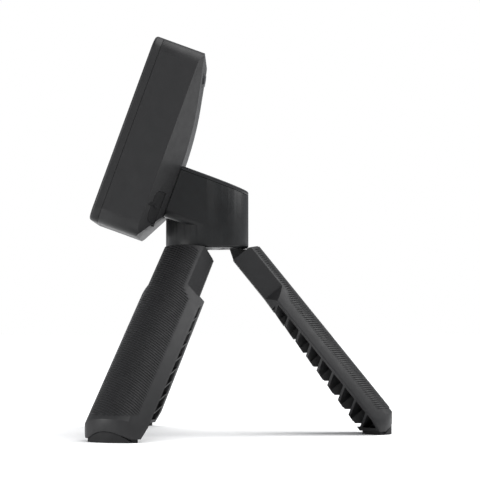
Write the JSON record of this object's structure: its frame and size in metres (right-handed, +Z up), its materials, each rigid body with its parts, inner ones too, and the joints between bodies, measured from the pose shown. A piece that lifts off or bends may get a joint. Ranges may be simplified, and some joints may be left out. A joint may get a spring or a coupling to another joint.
{
  "type": "golf launch monitor on a folding stand",
  "caption": "Leaning pocket-size radar unit held by magnets on the sloping neck of a folding tripod with ribbed, webbed legs.",
  "frame": {"origin": "the point on the floor straight below the stand head's vertical axis", "axes": "+Z up, -Y the way the radar unit faces, +Y along the rear leg, X across the unit"},
  "size_m": [0.1572, 0.1416, 0.1852],
  "materials": {
    "front_cover": "fine satin moulded ABS",
    "rear_cover": "fine satin moulded ABS",
    "case_seal": "soft black silicone",
    "antenna_board": "green circuit board",
    "antenna_patches": "gold flashed copper",
    "radar_shield": "tinned steel can",
    "inner_frame": "moulded glass-filled nylon",
    "main_board": "green circuit board",
    "board_chips": "black epoxy",
    "battery": "silver foil pouch",
    "battery_foam": "grey foam",
    "button_switch": "small metal switch",
    "status_light_pipe": "clear acrylic",
    "usb_connector": "stainless connector shell",
    "catch_plates": "zinc plated steel",
    "tripod_insert": "turned brass",
    "screws": "black zinc",
    "power_button": "satin rubber cap",
    "usb_cover": "matte rubber",
    "hub_shell": "fine satin moulded nylon",
    "hub_cap": "fine satin moulded nylon",
    "leg_carrier": "moulded acetal",
    "hinge_pins": "ground steel",
    "mount_magnets": "nickel plated",
    "magnet_holder": "moulded nylon",
    "leg": "ribbed glass-filled nylon",
    "foot_pad": "black rubber"
  },
  "bodies": {
    "tripod": {"hub_shell": "hub_shell", "hub_cap": "hub_cap", "leg_carrier": "leg_carrier", "hinge_pins": "hinge_pins", "stand_screws": "screws", "mount_magnets": "mount_magnets", "magnet_holder": "magnet_holder"},
    "leg_rear": {"leg_rear": "leg", "foot_pad_rear": "foot_pad"},
    "leg_right": {"leg_right": "leg", "foot_pad_right": "foot_pad"},
    "leg_left": {"leg_left": "leg", "foot_pad_left": "foot_pad"},
    "monitor": {"front_cover": "front_cover", "rear_cover": "rear_cover", "case_seal": "case_seal", "antenna_board": "antenna_board", "antenna_patches": "antenna_patches", "radar_shield": "radar_shield", "inner_frame": "inner_frame", "main_board": "main_board", "board_chips": "board_chips", "battery": "battery", "battery_foam": "battery_foam", "button_switch": "button_switch", "status_light_pipe": "status_light_pipe", "usb_connector": "usb_connector", "catch_plates": "catch_plates", "tripod_insert": "tripod_insert", "case_screws": "screws", "board_screws": "screws"},
    "power_button": {"power_button": "power_button"},
    "usb_cover": {"usb_cover": "usb_cover"}
  },
  "joints": [
    {"name": "rear_leg_fold", "type": "hinge", "parent": "tripod", "child": "leg_rear", "pos_m": [0, 0.0152, 0.09311], "axis": [-1, 0, 0], "range_deg": [0, 39]},
    {"name": "right_leg_fold", "type": "hinge", "parent": "tripod", "child": "leg_right", "pos_m": [0.01316, -0.0076, 0.09311], "axis": [0.5, 0.866, 0], "range_deg": [0, 39]},
    {"name": "left_leg_fold", "type": "hinge", "parent": "tripod", "child": "leg_left", "pos_m": [-0.01316, -0.0076, 0.09311], "axis": [0.5, -0.866, 0], "range_deg": [0, 39]},
    {"name": "monitor_pull_off", "type": "slide", "parent": "tripod", "child": "monitor", "axis": [0, -0.9397, 0.342], "range_m": [0, 0.03]},
    {"name": "power_button_press", "type": "slide", "parent": "monitor", "child": "power_button", "axis": [0, -0.989, 0.1478], "range_m": [0, 0.0008], "stiffness_N_per_m": 1500, "springref_m": -0.0005},
    {"name": "usb_cover_hinge", "type": "hinge", "parent": "monitor", "child": "usb_cover", "pos_m": [0.02465, -0.0225, 0.10574], "axis": [0, 0.342, 0.9397], "range_deg": [0, 100]}
  ]
}
